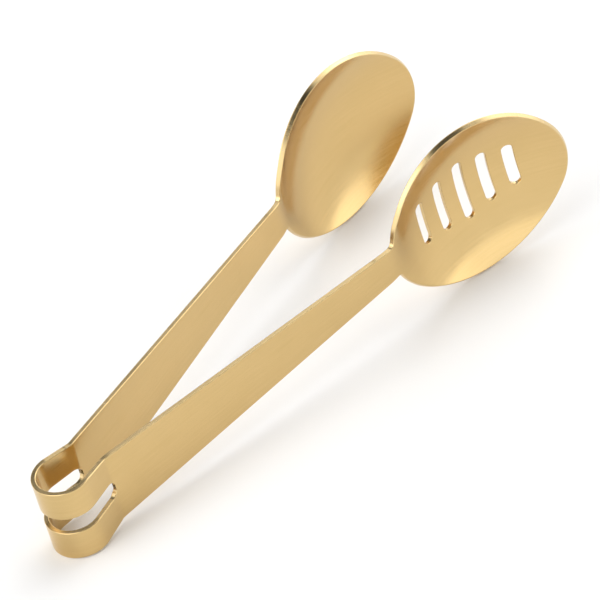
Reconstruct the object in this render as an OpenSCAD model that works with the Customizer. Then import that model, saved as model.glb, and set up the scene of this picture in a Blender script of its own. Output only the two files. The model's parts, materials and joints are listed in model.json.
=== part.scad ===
// Sprung serving tongs bent from one strip of sheet metal.
// The strip is split into named regions: two bow straps, and on each side two legs, a shoulder,
// an arm and a bowl. The bow's elastic flex is modelled as a knuckle hinge where each leg leaves the bow.
//
// Both bowls are dished to the same side, so that the pierced bowl nests in the plain one when closed.
//
// The tongs rest on three points: the bow's lower edge and the lower rim of each bowl.
// Local frame of the strip: X from the bow to the tips, +Y the plain side, Z across the strip.
// resting() then tips the strip onto the surface, z = 0, with the origin under the middle of its box.

/* [Sheet] */
// Thickness of the sheet
sheet_t = 1.2; // [0.8:0.1:1.6]
// Width of the strip round the bow
bow_w = 20; // [16:0.5:24]
// Width of the strip at the shoulders
shoulder_w = 18.6; // [14:0.2:22]
// Width of the strip at the necks
neck_w = 8.4; // [6:0.2:11]

/* [Bow] */
// Radius of the bow, to the middle of the sheet
bow_r = 6.4; // [5:0.1:9]
// Angle that the bow wraps past a half circle on each side
bow_over = 10; // [4:1:16]
// Straight leg between the bow and the shoulder
leg_l = 7.2; // [5:0.1:12]
// Width of the slot that splits the bow into two straps
slot_w = 4.4; // [2:0.1:6]
// How far the slot runs past the end of the leg
slot_past = 0.9; // [0:0.1:1.2]
// Clearance between a knuckle and its seat
knuckle_gap = 0.05; // [0.02:0.01:0.1]

/* [Arms] */
// Bend radius of the shoulder, to the middle of the sheet
shoulder_r = 2.6; // [1.6:0.1:4]
// Angle of each arm to the middle plane, at rest
arm_open = 8; // [6:0.5:12]
// Length of each arm, from the shoulder to the neck
arm_l = 87; // [60:1:120]

/* [Bowls] */
// Length of a bowl's oval
bowl_l = 50; // [44:1:58]
// Width of a bowl's oval
bowl_w = 42; // [36:1:44]
// Radius of the oval's ends
bowl_end_r = 16.4; // [13:0.2:17]
// Depth of the dish
dish_depth = 8; // [5:0.2:9]
// Tilt of each bowl to its arm, towards the hollow side
bowl_tilt = 6; // [3:0.5:8]
// Radius of the corners between the neck and the bowl
neck_fillet = 1.4; // [0.6:0.1:3]

/* [Drain slots] */
// Number of slots across the pierced bowl
drain_n = 5; // [3:2:7]
// Width of a drain slot
drain_w = 2.6; // [1.5:0.1:3.5]
// Distance between slots
drain_pitch = 6.4; // [5:0.1:6.5]
// Length of the middle slot
drain_l = 17; // [10:0.5:20]
// How much shorter each next slot is
drain_step = 2.5; // [0:0.1:2.5]

/* [Hidden] */
$fn = 96;

// Middle line of the plain side, from the bow to the bowl
bow_turn = 180 + 2 * bow_over;
bow_centre = [bow_r, 0];
leg_start = bow_centre + bow_r * [sin(bow_over), cos(bow_over)];
leg_end = leg_start + leg_l * [cos(bow_over), -sin(bow_over)];
shoulder_centre = leg_end + shoulder_r * [sin(bow_over), cos(bow_over)];
shoulder_turn = bow_over + arm_open;
arm_start = shoulder_centre + shoulder_r * [sin(arm_open), -cos(arm_open)];
neck = arm_start + arm_l * [cos(arm_open), sin(arm_open)];

// Straps on each side of the slot
strap_l = leg_l + slot_past - slot_w / 2;
strap_w = (bow_w - slot_w) / 2;
leg_taper = (bow_w - shoulder_w) / 2 / leg_l;
knuckle_r = sheet_t / 2 - 0.03;

// Oval of four arcs: two ends, and two sides that run into them smoothly
half_l = bowl_l / 2;
half_w = bowl_w / 2;
end_x = half_l - bowl_end_r;
side_r = (end_x ^ 2 + half_w ^ 2 - bowl_end_r ^ 2) / (2 * (half_w - bowl_end_r));
side_y = side_r - half_w;
join_x = end_x * side_r / (side_r - bowl_end_r);

// Rounded corners of the neck: each arc's centre, and where it runs into the oval, which is where
// the arm ends and the bowl starts
fillet_y = neck_w / 2 + neck_fillet;
fillet_x = sqrt((bowl_end_r + neck_fillet) ^ 2 - fillet_y ^ 2);
touch = bowl_end_r / (bowl_end_r + neck_fillet);
flare_l = fillet_x * (1 - touch);
oval_x = end_x + fillet_x * touch;

// How deep the rounded corners bite into the edges of the arm
neck_bite = 0.05;
neck_half_w = neck_w / 2 + neck_bite;

// Dish: a spherical shell through the neck and the tip
dish_r = (oval_x ^ 2 + dish_depth ^ 2) / (2 * dish_depth);
dish_cut = 2 * dish_depth;
plain_turn = arm_open - bowl_tilt;
pierced_turn = arm_open + bowl_tilt;

// Resting attitude, on the bow's lower edge and the lower rims of the bowls
rest_run = neck[0] + oval_x * cos(plain_turn);
rest_rise = bow_w / 2 + side_y;
rest_pitch = asin(side_r / norm([rest_run, rest_rise])) - atan2(rest_rise, rest_run);
rest_low = -bow_w / 2 * cos(rest_pitch) - sheet_t / 2 * sin(rest_pitch);
back_x = -sheet_t / 2 * cos(rest_pitch) - bow_w / 2 * sin(rest_pitch);
tip_x = (neck[0] + (oval_x + end_x) * cos(plain_turn)) * cos(rest_pitch) + bowl_end_r;

// Furthest point of each side from the middle plane: the plain bowl's back, and the pierced bowl's tip
plain_y = neck[1] + oval_x * sin(plain_turn)
    + (dish_depth - dish_r) * cos(plain_turn) + dish_r + sheet_t / 2;
tip_rise = dish_r - dish_depth - sqrt((dish_r - sheet_t / 2) ^ 2 - half_l ^ 2);
pierced_y = neck[1] + (oval_x + half_l) * sin(pierced_turn) + tip_rise * cos(pierced_turn);

gold = [0.84, 0.69, 0.43];

module resting() {
    translate([-(back_x + tip_x) / 2, (pierced_y - plain_y) / 2, -rest_low])
        rotate([0, -rest_pitch, 0])
            children();
}

module pierced_side() {
    mirror([0, 1, 0]) children();
}

// Frames along the strip: X onwards, Y outwards, Z across
module at_leg() {
    translate(leg_start) rotate(-bow_over) children();
}

module at_shoulder() {
    translate(shoulder_centre) children();
}

module at_arm() {
    translate(arm_start) rotate(arm_open) children();
}

module at_bowl(turn) {
    translate(neck) rotate(turn) children();
}

// Lays a flat outline, X onwards and Y across the strip, through the sheet
module sheet(thickness = sheet_t) {
    translate([0, thickness / 2, 0])
        rotate([90, 0, 0])
            linear_extrude(thickness)
                children();
}

// One strap of the bow, with a round knuckle at each end
module bow_strap(low) {
    translate([0, 0, low]) {
        translate([bow_centre[0], 0, 0])
            rotate(90 - bow_over)
                rotate_extrude(angle = bow_turn)
                    translate([bow_r - sheet_t / 2, 0])
                        square([sheet_t, strap_w]);
        for (side = [1, -1])
            translate([leg_start[0], side * leg_start[1], 0])
                cylinder(r = knuckle_r, h = strap_w);
    }
}

// Straight strap beyond a knuckle, which it seats on; up is 1 for the upper strap and -1 for the lower
module leg_strap(up) {
    difference() {
        at_leg() sheet() polygon([
            [0, up * slot_w / 2],
            [strap_l, up * slot_w / 2],
            [strap_l, up * (bow_w / 2 - strap_l * leg_taper)],
            [0, up * bow_w / 2],
        ]);
        translate([leg_start[0], leg_start[1], -bow_w])
            cylinder(r = knuckle_r + knuckle_gap, h = 2 * bow_w);
    }
}

// Bend between leg and arm, with the round end of the slot
module shoulder() {
    strap_end_w = bow_w / 2 - strap_l * leg_taper;
    difference() {
        union() {
            at_leg() sheet() polygon([
                [strap_l, -strap_end_w],
                [leg_l, -shoulder_w / 2],
                [leg_l, shoulder_w / 2],
                [strap_l, strap_end_w],
            ]);
            at_shoulder()
                translate([0, 0, -shoulder_w / 2])
                    rotate(270 - bow_over)
                        rotate_extrude(angle = shoulder_turn)
                            translate([shoulder_r - sheet_t / 2, 0])
                                square([sheet_t, shoulder_w]);
        }
        at_leg()
            translate([strap_l, 2 * sheet_t, 0])
                rotate([90, 0, 0])
                    cylinder(d = slot_w, h = 4 * sheet_t);
    }
}

// Flat tapered blade, which flares into the bowl at the neck's rounded corners
module arm() {
    at_arm() sheet() difference() {
        polygon([
            [0, -shoulder_w / 2],
            [arm_l - flare_l, -neck_half_w],
            [arm_l - flare_l, -fillet_y],
            [arm_l, -fillet_y],
            [arm_l, fillet_y],
            [arm_l - flare_l, fillet_y],
            [arm_l - flare_l, neck_half_w],
            [0, shoulder_w / 2],
        ]);
        for (side = [1, -1])
            translate([arm_l - flare_l, side * fillet_y]) circle(neck_fillet);
    }
}

// Outline of a bowl about the middle of its oval
module oval() {
    intersection() {
        translate([0, side_y]) circle(side_r);
        translate([0, -side_y]) circle(side_r);
        translate([-join_x, -half_w]) square([2 * join_x, bowl_w]);
    }
    for (side = [1, -1])
        translate([side * end_x, 0]) circle(bowl_end_r);
}

// Round-ended slots across the bowl, the middle one longest
module drain_slots() {
    for (i = [0 : drain_n - 1]) {
        place = i - (drain_n - 1) / 2;
        straight = drain_l - abs(place) * drain_step - drain_w;
        translate([place * drain_pitch, 0]) {
            square([drain_w, straight], center = true);
            for (side = [1, -1])
                translate([0, side * straight / 2]) circle(d = drain_w);
        }
    }
}

// Bowl dished outwards for out = 1 and inwards for out = -1; its children are cut through the sheet
module bowl(out) {
    difference() {
        at_bowl(arm_open - out * bowl_tilt) difference() {
            intersection() {
                translate([oval_x, 0, 0]) sheet(2 * dish_cut) oval();
                translate([oval_x, out * (dish_depth - dish_r), 0]) difference() {
                    sphere(dish_r + sheet_t / 2);
                    sphere(dish_r - sheet_t / 2);
                }
            }
            translate([oval_x, 0, 0]) sheet(2 * dish_cut) children();
        }
        at_bowl(arm_open) translate([-bowl_l, -dish_cut, -half_w]) cube([bowl_l, 2 * dish_cut, bowl_w]);
    }
}

module bow_upper_strap() { color(gold) resting() bow_strap(slot_w / 2); }
module bow_lower_strap() { color(gold) resting() bow_strap(-bow_w / 2); }
module plain_upper_leg() { color(gold) resting() leg_strap(1); }
module plain_lower_leg() { color(gold) resting() leg_strap(-1); }
module plain_shoulder() { color(gold) resting() shoulder(); }
module plain_arm() { color(gold) resting() arm(); }
module plain_bowl() { color(gold) resting() bowl(1); }
module pierced_upper_leg() { color(gold) resting() pierced_side() leg_strap(1); }
module pierced_lower_leg() { color(gold) resting() pierced_side() leg_strap(-1); }
module pierced_shoulder() { color(gold) resting() pierced_side() shoulder(); }
module pierced_arm() { color(gold) resting() pierced_side() arm(); }
module pierced_bowl() { color(gold) resting() pierced_side() bowl(-1) drain_slots(); }

bow_upper_strap();
bow_lower_strap();
plain_upper_leg();
plain_lower_leg();
plain_shoulder();
plain_arm();
plain_bowl();
pierced_upper_leg();
pierced_lower_leg();
pierced_shoulder();
pierced_arm();
pierced_bowl();
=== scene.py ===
"""Sprung serving tongs, bent from one strip of gold-coloured sheet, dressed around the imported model.

Every piece is a stretch of the same sheet. It starts as a flat outline in strip coordinates (s along the
strip, v across it, in metres), is laid on a curved middle surface, and gets two faces and rounded edges.
Strip space is X from the bow to the tips, Y towards the plain side and Z across the strip, and
to_frame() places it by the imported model's two hinges.
"""

import json
import math

import bpy
import numpy as np
from mathutils import Matrix, Vector
from mathutils.geometry import delaunay_2d_cdt


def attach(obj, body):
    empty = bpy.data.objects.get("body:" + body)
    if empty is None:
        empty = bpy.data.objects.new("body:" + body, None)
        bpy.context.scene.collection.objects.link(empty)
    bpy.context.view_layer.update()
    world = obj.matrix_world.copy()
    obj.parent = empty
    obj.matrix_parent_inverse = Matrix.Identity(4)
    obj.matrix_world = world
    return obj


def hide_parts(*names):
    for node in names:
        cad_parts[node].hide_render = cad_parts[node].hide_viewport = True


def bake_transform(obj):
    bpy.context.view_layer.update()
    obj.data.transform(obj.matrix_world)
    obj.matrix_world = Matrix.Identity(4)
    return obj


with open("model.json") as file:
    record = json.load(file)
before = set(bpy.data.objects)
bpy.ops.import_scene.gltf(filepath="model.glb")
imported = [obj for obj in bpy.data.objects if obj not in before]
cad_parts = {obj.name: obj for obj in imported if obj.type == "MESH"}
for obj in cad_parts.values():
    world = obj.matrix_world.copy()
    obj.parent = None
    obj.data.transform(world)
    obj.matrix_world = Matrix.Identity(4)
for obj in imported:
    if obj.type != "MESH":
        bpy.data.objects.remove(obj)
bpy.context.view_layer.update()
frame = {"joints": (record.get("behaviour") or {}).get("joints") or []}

MM = 0.001

# Sheet
SHEET_T = 1.2 * MM
EDGE_R = 0.2 * MM
BOW_W = 20.0 * MM
SHOULDER_W = 18.6 * MM
NECK_W = 8.4 * MM

# Bow, legs and shoulders
BOW_R = 6.4 * MM
BOW_OVER = math.radians(10)
LEG_L = 7.2 * MM
SLOT_W = 4.4 * MM
SLOT_PAST = 0.9 * MM
SHOULDER_R = 2.6 * MM
ARM_OPEN = math.radians(8)
ARM_L = 87.0 * MM

# Bowls
BOWL_L = 50.0 * MM
BOWL_W = 42.0 * MM
BOWL_END_R = 16.4 * MM
DISH_DEPTH = 8.0 * MM
BOWL_TILT = math.radians(6)
NECK_FILLET = 1.4 * MM
NECK_BEND_L = 9.0 * MM

# Drain slots
DRAIN_N = 5
DRAIN_W = 2.6 * MM
DRAIN_PITCH = 6.4 * MM
DRAIN_L = 17.0 * MM
DRAIN_STEP = 2.5 * MM

# Mesh spacing: along curved edges, across seams, and (along, across) inside each kind of piece
CURVE_STEP = 0.4 * MM
SEAM_STEP = 0.8 * MM
BEND_GRID = (0.5 * MM, 0.9 * MM)
ARM_GRID = (1.6 * MM, 0.9 * MM)
BOWL_GRID = (1.1 * MM, 1.0 * MM)
EDGE_STEPS = 4
NOTCH_STEPS = 24
DRAIN_STEPS = 14

# Middle line of one side
LEG_START = np.array([BOW_R * (1 + math.sin(BOW_OVER)), BOW_R * math.cos(BOW_OVER)])
LEG_END = LEG_START + LEG_L * np.array([math.cos(BOW_OVER), -math.sin(BOW_OVER)])
SHOULDER_CENTRE = LEG_END + SHOULDER_R * np.array([math.sin(BOW_OVER), math.cos(BOW_OVER)])
SHOULDER_TURN = BOW_OVER + ARM_OPEN
SHOULDER_END = LEG_L + SHOULDER_R * SHOULDER_TURN
ARM_START = SHOULDER_CENTRE + SHOULDER_R * np.array([math.sin(ARM_OPEN), -math.cos(ARM_OPEN)])
NECK = ARM_START + ARM_L * np.array([math.cos(ARM_OPEN), math.sin(ARM_OPEN)])
BOW_HALF_S = BOW_R * (math.pi / 2 + BOW_OVER)
STRAP_L = LEG_L + SLOT_PAST - SLOT_W / 2
LEG_TAPER = (BOW_W - SHOULDER_W) / 2 / LEG_L

# Oval of four arcs, and the rounded corners where the arm flares into it
END_X = BOWL_L / 2 - BOWL_END_R
FILLET_Y = NECK_W / 2 + NECK_FILLET


def flare(end_r):
    """Distances back from the centre of the bowl's end arc: to where the flare meets it, and starts."""
    start = math.sqrt((end_r + NECK_FILLET) ** 2 - FILLET_Y**2)
    return start * end_r / (end_r + NECK_FILLET), start


OVAL_X = END_X + flare(BOWL_END_R)[0]
DISH_R = (OVAL_X**2 + DISH_DEPTH**2) / (2 * DISH_DEPTH)

# The rim is cut square to the sheet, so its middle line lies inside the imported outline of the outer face
RIM_FIT = 1 - SHEET_T / (2 * DISH_R)
RIM_END_R = BOWL_END_R * RIM_FIT
RIM_END_X = END_X * RIM_FIT
RIM_W = BOWL_W / 2 * RIM_FIT
RIM_SIDE_R = (RIM_END_X**2 + RIM_W**2 - RIM_END_R**2) / (2 * (RIM_W - RIM_END_R))
RIM_SIDE_Y = RIM_SIDE_R - RIM_W
RIM_JOIN = math.atan2(RIM_SIDE_Y, RIM_END_X)
FLARE_TURN = math.asin(FILLET_Y / (RIM_END_R + NECK_FILLET))
FLARE_S = OVAL_X - RIM_END_X - flare(RIM_END_R)[1]
BOWL_START = -NECK_BEND_L / 2 - 1 * MM


# ---------------------------------------------------------------- placing


def hinge(name):
    """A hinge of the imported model, by name."""
    return next(j for j in frame["joints"] if j["name"] == name)


def strip_to_frame():
    """Matrix from strip space to the row frame, from where the two hinges are."""
    plain, pierced = hinge("plain_side_flex"), hinge("pierced_side_flex")
    across = Vector(pierced["axis"])
    outward = Vector((0, 1, 0))
    along = outward.cross(across).normalized()
    middle = (Vector(plain["pos_m"]) + Vector(pierced["pos_m"])) / 2
    origin = middle - along * LEG_START[0]
    return np.array(
        Matrix.Translation(origin) @ Matrix((along, outward, across)).transposed().to_4x4()
    )


PLACE = strip_to_frame()


def to_frame(points):
    """Strip-space points, one a row, in the row frame."""
    return points @ PLACE[:3, :3].T + PLACE[:3, 3]


# ---------------------------------------------------------------- middle surfaces
# Each takes arrays s and v and returns points in strip space, one a row.


def bow_surface(s, v):
    """The bow, with s measured from its crown towards the plain side."""
    turn = s / BOW_R
    return np.stack([BOW_R * (1 - np.cos(turn)), BOW_R * np.sin(turn), v], axis=1)


def leg_surface(s, v):
    """Leg and shoulder bend, with s measured from the hinge."""
    straight = np.minimum(s, LEG_L)
    turn = np.maximum(s - LEG_L, 0) / SHOULDER_R
    heading = turn - BOW_OVER
    x = LEG_START[0] + straight * math.cos(BOW_OVER)
    y = LEG_START[1] - straight * math.sin(BOW_OVER)
    x = x + SHOULDER_R * (np.sin(heading) + math.sin(BOW_OVER))
    y = y + SHOULDER_R * (math.cos(BOW_OVER) - np.cos(heading))
    return np.stack([x, y, v], axis=1)


def blade_height(s, v):
    """Height of arm and dish over the bowl's own plane, smooth through the neck at s = 0."""
    slope = math.tan(BOWL_TILT)
    u = np.clip(s / NECK_BEND_L + 0.5, 0, 1)
    blend = u * u * (3 - 2 * u)
    ramp = np.where(u >= 1, s, NECK_BEND_L * (u**3 - u**4 / 2))
    reach = DISH_R**2 - (s - OVAL_X) ** 2
    chord = np.sqrt(np.maximum(reach, 0))
    across = np.sqrt(np.maximum(reach - v**2, 0)) - chord
    # (chord - chord at the neck) / s, in a form that holds at s = 0
    rise = (2 * OVAL_X - s) / (chord + DISH_R - DISH_DEPTH)
    return slope * s + ramp * (rise - slope) + blend * across


def blade_surface(bulge):
    """Arm and bowl. The bowl bulges away from the middle plane at bulge 1, and towards it at -1."""

    def surface(s, v):
        height = bulge * blade_height(s, v)
        heading = ARM_OPEN - bulge * BOWL_TILT
        x = NECK[0] + s * math.cos(heading) - height * math.sin(heading)
        y = NECK[1] + s * math.sin(heading) + height * math.cos(heading)
        return np.stack([x, y, v], axis=1)

    return surface


def other_side(surface):
    """The same surface on the pierced side of the middle plane."""
    return lambda s, v: surface(s, v) * np.array([1, -1, 1])


# ---------------------------------------------------------------- flat outlines
# A loop is a list of (s, v, outward s, outward v). The outward vector is zero along a seam, where
# the next piece goes on, and points away from the metal along a free edge.


def seam(s, low, high, out_low, out_high):
    """Points across the strip at one s. Its two ends are corners with free edges."""
    count = max(2, round(abs(high - low) / SEAM_STEP))
    rows = []
    for k in range(count + 1):
        v = low + (high - low) * k / count
        out = out_low if k == 0 else out_high if k == count else 0
        rows.append((s, v, 0.0, out))
    return rows


def free_edge(points):
    """Points of a free edge between two seams, with the outward vector to the right of travel."""
    rows = []
    for k in range(1, len(points) - 1):
        before, after = points[k - 1], points[k + 1]
        run = np.array(after) - np.array(before)
        run = run / np.linalg.norm(run)
        rows.append((points[k][0], points[k][1], run[1], -run[0]))
    return rows


def closed_edge(points):
    """A whole loop of free edge, such as a hole."""
    wrapped = [points[-1], *points, points[0]]
    return free_edge(wrapped)


def spread(start, end, step):
    """Evenly spaced values from start to end, about a step apart."""
    count = max(1, round(abs(end - start) / step))
    return [start + (end - start) * k / count for k in range(count + 1)]


def band_loop(s_start, s_end, low, high, step):
    """Loop of a band whose lower and upper edges are the functions low(s) and high(s)."""
    stations = spread(s_start, s_end, step)
    bottom = [(s, low(s)) for s in stations]
    top = [(s, high(s)) for s in reversed(stations)]
    return [
        *free_edge(bottom),
        *seam(s_end, low(s_end), high(s_end), -1, 1),
        *free_edge(top),
        *seam(s_start, high(s_start), low(s_start), 1, -1),
    ]


def leg_edge(s):
    """Half-width of the leg and shoulder at s from the hinge."""
    return BOW_W / 2 - LEG_TAPER * min(s, LEG_L)


def shoulder_loop():
    """From the straps' ends to the arm, with the slot's round end cut into it.
    The round end reaches 0.08 mm past the shoulder's end, so this loop crosses itself there."""
    stations = spread(STRAP_L, SHOULDER_END, 0.35 * MM)
    bottom = [(s, -leg_edge(s)) for s in stations]
    top = [(s, leg_edge(s)) for s in reversed(stations)]
    radius = SLOT_W / 2
    turns = spread(0, math.pi, math.pi / NOTCH_STEPS)
    notch = [(STRAP_L + radius * math.sin(a), radius * math.cos(a)) for a in turns]
    return [
        *free_edge(bottom),
        *seam(SHOULDER_END, -SHOULDER_W / 2, SHOULDER_W / 2, -1, 1),
        *free_edge(top),
        *seam(STRAP_L, leg_edge(STRAP_L), radius, 1, -1),
        *free_edge(notch),
        *seam(STRAP_L, -radius, -leg_edge(STRAP_L), 1, -1),
    ]


def arm_edge(s):
    """Half-width of the arm at s from the neck, which is negative."""
    share = (s - FLARE_S) / (FLARE_S + ARM_L * math.cos(BOWL_TILT))
    return NECK_W / 2 - (SHOULDER_W - NECK_W) / 2 * share


def arm_loop():
    """Arm outline, from the shoulder to just short of the neck's bend."""
    start = -ARM_L * math.cos(BOWL_TILT)
    return band_loop(start, BOWL_START, lambda s: -arm_edge(s), arm_edge, ARM_GRID[0])


def arc(centre, radius, start, end, step=0.5 * MM):
    """Points round an arc from one angle to another, with its last point left off."""
    turns = spread(start, end, step / radius)[:-1]
    return [(centre[0] + radius * math.cos(a), centre[1] + radius * math.sin(a)) for a in turns]


def half_rim():
    """Lower half of the bowl's outline, from the seam on the arm, by the flare, to the tip."""
    lead = [(s, -arm_edge(s)) for s in spread(BOWL_START, FLARE_S, 0.6 * MM)[:-1]]
    corner = arc((FLARE_S, -FILLET_Y), NECK_FILLET, math.pi / 2, FLARE_TURN, 0.15 * MM)
    side = (OVAL_X, RIM_SIDE_Y)
    near = arc((OVAL_X - RIM_END_X, 0), RIM_END_R, math.pi + FLARE_TURN, math.pi + RIM_JOIN)
    long = arc(side, RIM_SIDE_R, math.pi + RIM_JOIN, 2 * math.pi - RIM_JOIN)
    far = arc((OVAL_X + RIM_END_X, 0), RIM_END_R, -RIM_JOIN, 0)
    return [*lead, *corner, *near, *long, *far]


def bowl_loop():
    """Bowl outline, with the flare and the last of the arm."""
    half = half_rim()
    tip = (OVAL_X + RIM_END_X + RIM_END_R, 0.0)
    mirrored = [(s, -v) for s, v in reversed(half)]
    edge = arm_edge(BOWL_START)
    return [
        *free_edge([*half, tip, *mirrored]),
        *seam(BOWL_START, edge, -edge, 1, -1),
    ]


def drain_points(centre, straight):
    """Points round one slot: at each end half a circle, then the side that leads to the other end."""
    radius = DRAIN_W / 2
    points = []
    for end in (1, -1):
        for k in range(DRAIN_STEPS + 1):
            turn = math.pi * k / DRAIN_STEPS
            across = end * (straight / 2 + radius * math.sin(turn))
            points.append((centre + end * radius * math.cos(turn), across))
        side = spread(end * straight / 2, -end * straight / 2, 0.7 * MM)[1:-1]
        points += [(centre - end * radius, v) for v in side]
    return points


def drain_loops():
    """Round-ended slots across the pierced bowl, the middle one longest."""
    loops = []
    for k in range(DRAIN_N):
        place = k - (DRAIN_N - 1) / 2
        straight = DRAIN_L - abs(place) * DRAIN_STEP - DRAIN_W
        points = drain_points(OVAL_X + place * DRAIN_PITCH, straight)
        loops.append(closed_edge(points[::-1]))
    return loops


# ---------------------------------------------------------------- sheet metal


def inside(loop, points):
    """Whether each point is inside a loop, by the crossings of a ray."""
    s, v = points[:, 0], points[:, 1]
    found = np.zeros(len(points), bool)
    for a, b in zip(loop, np.roll(loop, -1, axis=0)):
        crosses = (a[1] > v) != (b[1] > v)
        rise = np.where(crosses, b[1] - a[1], 1)
        found ^= crosses & (s < a[0] + (v - a[1]) / rise * (b[0] - a[0]))
    return found


def covered(points, loops):
    """Whether each point is metal: inside the first loop and outside the others."""
    found = inside(loops[0], points)
    for hole in loops[1:]:
        found &= ~inside(hole, points)
    return found


def fill(loops, grid_step):
    """Points and triangles over the first loop less the others. The loops' points come first."""
    outline = np.vstack([loop[:, :2] for loop in loops])
    edges, first = [], 0
    for loop in loops:
        ring = [first + k for k in range(len(loop))]
        edges += list(zip(ring, ring[1:] + ring[:1]))
        first += len(loop)
    along, across = grid_step
    low, high = loops[0][:, :2].min(0), loops[0][:, :2].max(0)
    grid = [
        (s + (row % 2) * along / 2, v)
        for row, v in enumerate(np.arange(low[1] + across / 2, high[1], across))
        for s in np.arange(low[0] + along / 3, high[0], along)
    ]
    grid = np.array(grid)
    grid = grid[covered(grid, loops)]
    gap = np.min(np.linalg.norm(grid[:, None] - outline[None], axis=2), axis=1)
    grid = grid[gap > 0.4 * min(along, across)]
    points = np.vstack([outline, grid])
    scale = 1 / MM
    made = delaunay_2d_cdt([Vector(p * scale) for p in points], edges, [], 0, 1e-7)
    verts = np.array([tuple(p) for p in made[0]]) / scale
    middles = np.array([verts[list(f)].mean(0) for f in made[2]])
    metal = covered(middles, loops)
    return verts, [f for f, keep in zip(made[2], metal) if keep]


def normals_of(surface, s, v):
    """Unit normals of a middle surface, from small steps along and across it."""
    tiny = 0.002 * MM
    along = surface(s + tiny, v) - surface(s - tiny, v)
    across = surface(s, v + tiny) - surface(s, v - tiny)
    out = np.cross(across, along)
    return out / np.linalg.norm(out, axis=1)[:, None]


def edge_profile():
    """Rounded edge from one face to the other: (angle, face's sign, how far out, how high) a row."""
    rows = []
    for side in (1, -1):
        for k in range(EDGE_STEPS + 1):
            angle = math.pi / 2 * (k if side > 0 else EDGE_STEPS - k) / EDGE_STEPS
            out = EDGE_R * math.sin(angle)
            high = side * (SHEET_T / 2 - EDGE_R + EDGE_R * math.cos(angle))
            rows.append((angle, side, out, high))
    return rows


def rim_row(surface, loop, angle, side, out, high):
    """One row round an edge: its points, its normals, and where they are on the strip."""
    at = loop[:, :2] + loop[:, 2:] * out
    base, up = surface(at[:, 0], at[:, 1]), normals_of(surface, at[:, 0], at[:, 1])
    ahead = at + loop[:, 2:] * 0.01 * MM
    sideways = surface(ahead[:, 0], ahead[:, 1]) - base
    length = np.linalg.norm(sideways, axis=1)[:, None]
    sideways = sideways / np.maximum(length, 1e-12)
    turned = up * math.cos(angle) * side + sideways * math.sin(angle)
    normals = turned / np.linalg.norm(turned, axis=1)[:, None].clip(1e-9)
    return base + up * high, normals, at


def rim_faces(rows):
    """Quads between one row of vertices and the next, all the way round."""
    size = len(rows[0])
    faces = []
    for upper, lower in zip(rows, rows[1:]):
        for k in range(size):
            n = (k + 1) % size
            faces.append((upper[n], upper[k], lower[k], lower[n]))
    return faces


def sheet_piece(name, surface, loops, grid_step, s_from):
    """Sheet metal over the outline: both faces, and rounded edges where they are free.
    s_from is the strip's length before the surface's s = 0, for the brushed grain."""
    loops = [np.array(loop) for loop in loops]
    inset = [np.column_stack([p[:, :2] - EDGE_R * p[:, 2:], p[:, 2:]]) for p in loops]
    flat, triangles = fill(inset, grid_step)
    middle, up = surface(flat[:, 0], flat[:, 1]), normals_of(surface, flat[:, 0], flat[:, 1])
    count = len(flat)
    verts = [middle + up * SHEET_T / 2, middle - up * SHEET_T / 2]
    normals = [up, -up]
    places = [flat, flat]
    edge_marks = [np.zeros(count), np.zeros(count)]
    faces = [tuple(f) for f in triangles]
    faces += [tuple(count + k for k in reversed(f)) for f in triangles]
    total, first = 2 * count, 0
    for loop in inset:
        size = len(loop)
        rows = [list(range(first, first + size))]
        for angle, side, out, high in edge_profile()[1:-1]:
            row_verts, row_normals, row_places = rim_row(surface, loop, angle, side, out, high)
            verts.append(row_verts)
            normals.append(row_normals)
            places.append(row_places)
            edge_marks.append(np.full(size, math.sin(angle)))
            rows.append(list(range(total, total + size)))
            total += size
        rows.append([count + k for k in range(first, first + size)])
        faces += rim_faces(rows)
        first += size
    verts, normals = np.vstack(verts), np.vstack(normals)
    return make_mesh(name, verts, normals, faces, np.vstack(places), np.hstack(edge_marks), s_from)


def make_mesh(name, verts, normals, faces, places, edge_marks, s_from):
    """A mesh object in the row frame, with its own normals, strip coordinates and edge marks."""
    placed = to_frame(verts)
    turned = normals @ PLACE[:3, :3].T
    first = faces[0]
    wound = np.cross(placed[first[1]] - placed[first[0]], placed[first[2]] - placed[first[0]])
    if wound @ turned[first[0]] < 0:
        faces = [tuple(reversed(f)) for f in faces]
    mesh = bpy.data.meshes.new(name)
    mesh.from_pydata(placed.tolist(), [], faces)
    mesh.validate()
    strip = mesh.uv_layers.new(name="strip")
    corner_verts = np.zeros(len(mesh.loops), np.int32)
    mesh.loops.foreach_get("vertex_index", corner_verts)
    strip_places = places + np.array([s_from, 0])
    strip.data.foreach_set("uv", strip_places[corner_verts].astype(np.float32).ravel())
    edge = mesh.attributes.new("edge", "FLOAT", "POINT")
    edge.data.foreach_set("value", edge_marks.astype(np.float32))
    mesh.shade_smooth()
    mesh.normals_split_custom_set_from_vertices(turned.tolist())
    piece = bpy.data.objects.new(name, mesh)
    bpy.context.scene.collection.objects.link(piece)
    return piece


# ---------------------------------------------------------------- material


def link(tree, source, target):
    """Joins two node sockets."""
    tree.links.new(source, target)


def stretched_noise(tree, coords, stretch, scale):
    """Noise over the strip's own coordinates, stretched along or across it."""
    mapping = tree.nodes.new("ShaderNodeMapping")
    mapping.inputs["Scale"].default_value = stretch
    noise = tree.nodes.new("ShaderNodeTexNoise")
    noise.inputs["Scale"].default_value = scale
    noise.inputs["Detail"].default_value = NOISE_DETAIL
    link(tree, coords, mapping.inputs["Vector"])
    link(tree, mapping.outputs["Vector"], noise.inputs["Vector"])
    return noise.outputs["Fac"]


def map_range(tree, value, low, high, from_low=0.3, from_high=0.7):
    """A value between two limits, by a noise or mask between two others."""
    node = tree.nodes.new("ShaderNodeMapRange")
    node.inputs["From Min"].default_value = from_low
    node.inputs["From Max"].default_value = from_high
    node.inputs["To Min"].default_value = low
    node.inputs["To Max"].default_value = high
    link(tree, value, node.inputs["Value"])
    return node.outputs["Result"]


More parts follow.
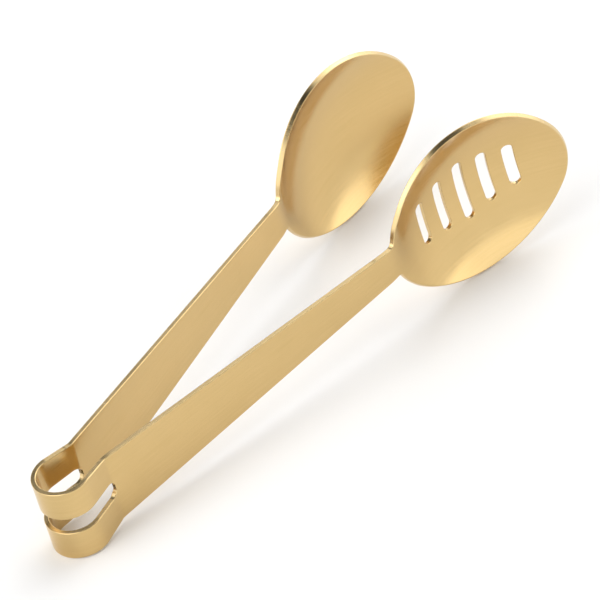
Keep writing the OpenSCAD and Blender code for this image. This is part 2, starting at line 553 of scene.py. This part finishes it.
def add(tree, first, second):
    """The sum of two values."""
    node = tree.nodes.new("ShaderNodeMath")
    node.operation = "ADD"
    link(tree, first, node.inputs[0])
    link(tree, second, node.inputs[1])
    return node.outputs[0]


GOLD_DEEP = (0.64, 0.455, 0.200, 1)
GOLD_PALE = (0.70, 0.505, 0.235, 1)
GOLD_WORN = (0.74, 0.57, 0.31, 1)
GRAIN_PER_M = 1900.0
GRAIN_STRETCH = (0.04, 1.0, 1.0)
CLOUD_PER_M = 90.0
NOISE_DETAIL = 4.0
BRUSHED_ROUGHNESS = (0.12, 0.20)
CLOUD_ROUGHNESS = (0.0, 0.05)
EDGE_ROUGHNESS = (0.0, 0.06)
EDGE_RUBBED = (0.2, 1.0)
BUMP_DEPTH = 0.02 * MM


def gold_material():
    """Gold-coloured plating: fine brushed grain, faint cloudiness, and rubbed edges."""
    material = bpy.data.materials.new("brushed_gold_plating")
    material.use_nodes = True
    tree = material.node_tree
    shader = tree.nodes["Principled BSDF"]
    shader.inputs["Metallic"].default_value = 1.0
    shader.inputs["Anisotropic"].default_value = 0.35
    strip = tree.nodes.new("ShaderNodeUVMap")
    strip.uv_map = "strip"
    coords = strip.outputs["UV"]
    grain = stretched_noise(tree, coords, GRAIN_STRETCH, GRAIN_PER_M)
    cloud = stretched_noise(tree, coords, (1.0, 1.0, 1.0), CLOUD_PER_M)
    edge = tree.nodes.new("ShaderNodeAttribute")
    edge.attribute_name = "edge"

    tint = tree.nodes.new("ShaderNodeMix")
    tint.data_type = "RGBA"
    tint.inputs["A"].default_value = GOLD_DEEP
    tint.inputs["B"].default_value = GOLD_PALE
    mottle = add(tree, map_range(tree, cloud, 0.2, 0.6), map_range(tree, grain, -0.3, 0.3))
    link(tree, mottle, tint.inputs["Factor"])
    worn = tree.nodes.new("ShaderNodeMix")
    worn.data_type = "RGBA"
    worn.inputs["B"].default_value = GOLD_WORN
    link(tree, tint.outputs["Result"], worn.inputs["A"])
    link(tree, map_range(tree, edge.outputs["Fac"], 0.0, 0.6, *EDGE_RUBBED), worn.inputs["Factor"])
    link(tree, worn.outputs["Result"], shader.inputs["Base Color"])

    brushed = map_range(tree, grain, *BRUSHED_ROUGHNESS)
    rough = add(tree, brushed, map_range(tree, cloud, *CLOUD_ROUGHNESS))
    rubbed = map_range(tree, edge.outputs["Fac"], *EDGE_ROUGHNESS, *EDGE_RUBBED)
    rough = add(tree, rough, rubbed)
    link(tree, rough, shader.inputs["Roughness"])

    bump = tree.nodes.new("ShaderNodeBump")
    bump.inputs["Strength"].default_value = 0.1
    bump.inputs["Distance"].default_value = BUMP_DEPTH
    link(tree, grain, bump.inputs["Height"])
    link(tree, bump.outputs["Normal"], shader.inputs["Normal"])
    return material


# ---------------------------------------------------------------- the tongs

gold = gold_material()


def finish_piece(piece, node):
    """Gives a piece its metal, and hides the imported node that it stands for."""
    piece.data.materials.append(gold)
    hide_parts(node)


def hinge_points(side):
    """Where a leg starts to bend and where it has joined its side, in the row frame."""
    middle = leg_surface(np.array([0.0, STRAP_L]), np.zeros(2)) * np.array([1, side, 1])
    start, end = to_frame(middle)
    return tuple(start), tuple(end)


def bow_strap(name, low, high):
    """One of the two straps round the bow."""
    loop = band_loop(-BOW_HALF_S, BOW_HALF_S, lambda s: low, lambda s: high, CURVE_STEP)
    piece = sheet_piece(name, bow_surface, [loop], BEND_GRID, 0.0)
    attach(piece, "bow")
    finish_piece(piece, name)


def leg(name, surface, low, high, side):
    """One of the two straps of a leg, between the bow and its side."""
    loop = band_loop(0.0, STRAP_L, low, high, CURVE_STEP)
    piece = sheet_piece(name, surface, [loop], BEND_GRID, BOW_HALF_S)
    start, end = hinge_points(side)
    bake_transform(piece)
    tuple(start)
    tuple(end)
    finish_piece(piece, name)


def side_pieces(word, side, bulge):
    """Legs, shoulder, arm and bowl of one side."""
    body = f"{word}_side"
    bend, blade = leg_surface, blade_surface(bulge)
    if side < 0:
        bend, blade = other_side(bend), other_side(blade)
    leg(f"{word}_upper_leg", bend, lambda s: SLOT_W / 2, leg_edge, side)
    leg(f"{word}_lower_leg", bend, lambda s: -leg_edge(s), lambda s: -SLOT_W / 2, side)
    neck_s = BOW_HALF_S + SHOULDER_END + ARM_L
    holes = drain_loops() if word == "pierced" else []
    made = {
        "shoulder": (bend, [shoulder_loop()], BEND_GRID, BOW_HALF_S),
        "arm": (blade, [arm_loop()], ARM_GRID, neck_s),
        "bowl": (blade, [bowl_loop(), *holes], BOWL_GRID, neck_s),
    }
    for part, recipe in made.items():
        name = f"{word}_{part}"
        piece = sheet_piece(name, *recipe)
        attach(piece, body)
        finish_piece(piece, name)


bow_strap("bow_upper_strap", SLOT_W / 2, BOW_W / 2)
bow_strap("bow_lower_strap", -BOW_W / 2, -SLOT_W / 2)
side_pieces("plain", 1, 1)
side_pieces("pierced", -1, -1)


# ---------------------------------------------------------------- studio


def grey(level):
    """An opaque grey."""
    return (level, level, level, 1)


FLOOR_REACH = 3.0
FLOOR_SHADES = (0.93, 0.96)


def floor():
    """Plain pale floor, faintly uneven, reaching far enough to fill the metal's reflections."""
    reach = FLOOR_REACH
    mesh = bpy.data.meshes.new("floor")
    corners = [(-reach, -reach, 0), (reach, -reach, 0), (reach, reach, 0), (-reach, reach, 0)]
    mesh.from_pydata(corners, [], [(0, 1, 2, 3)])
    plane = bpy.data.objects.new("floor", mesh)
    bpy.context.scene.collection.objects.link(plane)
    material = bpy.data.materials.new("pale_floor")
    material.use_nodes = True
    tree = material.node_tree
    shader = tree.nodes["Principled BSDF"]
    shader.inputs["Roughness"].default_value = 0.9
    shader.inputs["Specular IOR Level"].default_value = 0.0
    noise = tree.nodes.new("ShaderNodeTexNoise")
    noise.inputs["Scale"].default_value = 3.0
    shade = tree.nodes.new("ShaderNodeMix")
    shade.data_type = "RGBA"
    shade.inputs["A"].default_value = grey(FLOOR_SHADES[0])
    shade.inputs["B"].default_value = grey(FLOOR_SHADES[1])
    link(tree, noise.outputs["Fac"], shade.inputs["Factor"])
    link(tree, shade.outputs["Result"], shader.inputs["Base Color"])
    mesh.materials.append(material)


def outward(azimuth, elevation):
    """Unit vector away from the tongs. Azimuth 0 is in front, at -Y, and 90 degrees is at +X."""
    a, e = math.radians(azimuth), math.radians(elevation)
    return Vector((math.sin(a) * math.cos(e), -math.cos(a) * math.cos(e), math.sin(e)))


def softbox(name, azimuth):
    """Square area light that faces the tongs."""
    towards = outward(azimuth, SOFTBOX_ELEVATION)
    light = bpy.data.lights.new(name, "AREA")
    light.size = SOFTBOX_SIZE
    light.energy = SOFTBOX_POWER
    lamp = bpy.data.objects.new(name, light)
    lamp.location = towards * SOFTBOX_DISTANCE
    lamp.rotation_mode = "QUATERNION"
    lamp.rotation_quaternion = towards.to_track_quat("Z", "Y")
    bpy.context.scene.collection.objects.link(lamp)


SOFTBOX_AZIMUTH = 105
SOFTBOX_ELEVATION = 50
SOFTBOX_DISTANCE = 1.8
SOFTBOX_SIZE = 1.8
SOFTBOX_POWER = 14.5

# Soft patches of the studio: direction, radiance, and the angles where each is full and has gone.
# The first three are dark gaps, for the cut edges to mirror, and the last is a panel for the dishes.
PATCHES = [
    ((0.02, -0.50, 0.86), 0.0, 32, 42),
    ((-0.45, 0.59, 0.67), 0.02, 16, 30),
    ((0.25, 0.60, 0.76), 0.02, 20, 36),
    ((0.83, -0.55, 0.10), 1.9, 2, 44),
]
WALL = 1.52


def studio_world():
    """White tent with three dark gaps overhead and one brighter panel low on the right."""
    world = bpy.data.worlds.new("studio")
    world.use_nodes = True
    tree = world.node_tree
    coords = tree.nodes.new("ShaderNodeTexCoord")
    colour = None
    for direction, radiance, full, gone in PATCHES:
        facing = tree.nodes.new("ShaderNodeVectorMath")
        facing.operation = "DOT_PRODUCT"
        facing.inputs[1].default_value = Vector(direction).normalized()
        link(tree, coords.outputs["Generated"], facing.inputs[0])
        edge, middle = math.cos(math.radians(gone)), math.cos(math.radians(full))
        mask = map_range(tree, facing.outputs["Value"], 0.0, 1.0, edge, middle)
        mix = tree.nodes.new("ShaderNodeMix")
        mix.data_type = "RGBA"
        mix.inputs["A"].default_value = grey(WALL)
        mix.inputs["B"].default_value = grey(radiance)
        link(tree, mask, mix.inputs["Factor"])
        if colour is not None:
            link(tree, colour, mix.inputs["A"])
        colour = mix.outputs["Result"]
    link(tree, colour, tree.nodes["Background"].inputs["Color"])
    bpy.context.scene.world = world


# The camera is fitted to the photograph's outline
VIEW_AZIMUTH = -41.19
VIEW_ELEVATION = 38.48
VIEW_ROLL = -12.54
VIEW_AIM = (0.00489, -0.00506, 0.01926)
VIEW_DISTANCE = 2.2026
LENS = 586.8


def camera():
    """Long lens at the photograph's angle, turned a little about its own axis."""
    back = outward(VIEW_AZIMUTH, VIEW_ELEVATION)
    data = bpy.data.cameras.new("camera")
    data.sensor_width = 36.0
    data.lens = LENS
    data.clip_start, data.clip_end = 0.1, 50.0
    eye = bpy.data.objects.new("camera", data)
    eye.rotation_mode = "QUATERNION"
    level = (-back).to_track_quat("-Z", "Y")
    roll = Matrix.Rotation(math.radians(VIEW_ROLL), 3, "Z").to_quaternion()
    eye.rotation_quaternion = level @ roll
    eye.location = Vector(VIEW_AIM) + back * VIEW_DISTANCE
    bpy.context.scene.collection.objects.link(eye)
    bpy.context.scene.camera = eye


floor()
studio_world()
softbox("right_softbox", SOFTBOX_AZIMUTH)
softbox("left_softbox", -SOFTBOX_AZIMUTH)
camera()
bpy.context.scene.view_settings.view_transform = "Standard"
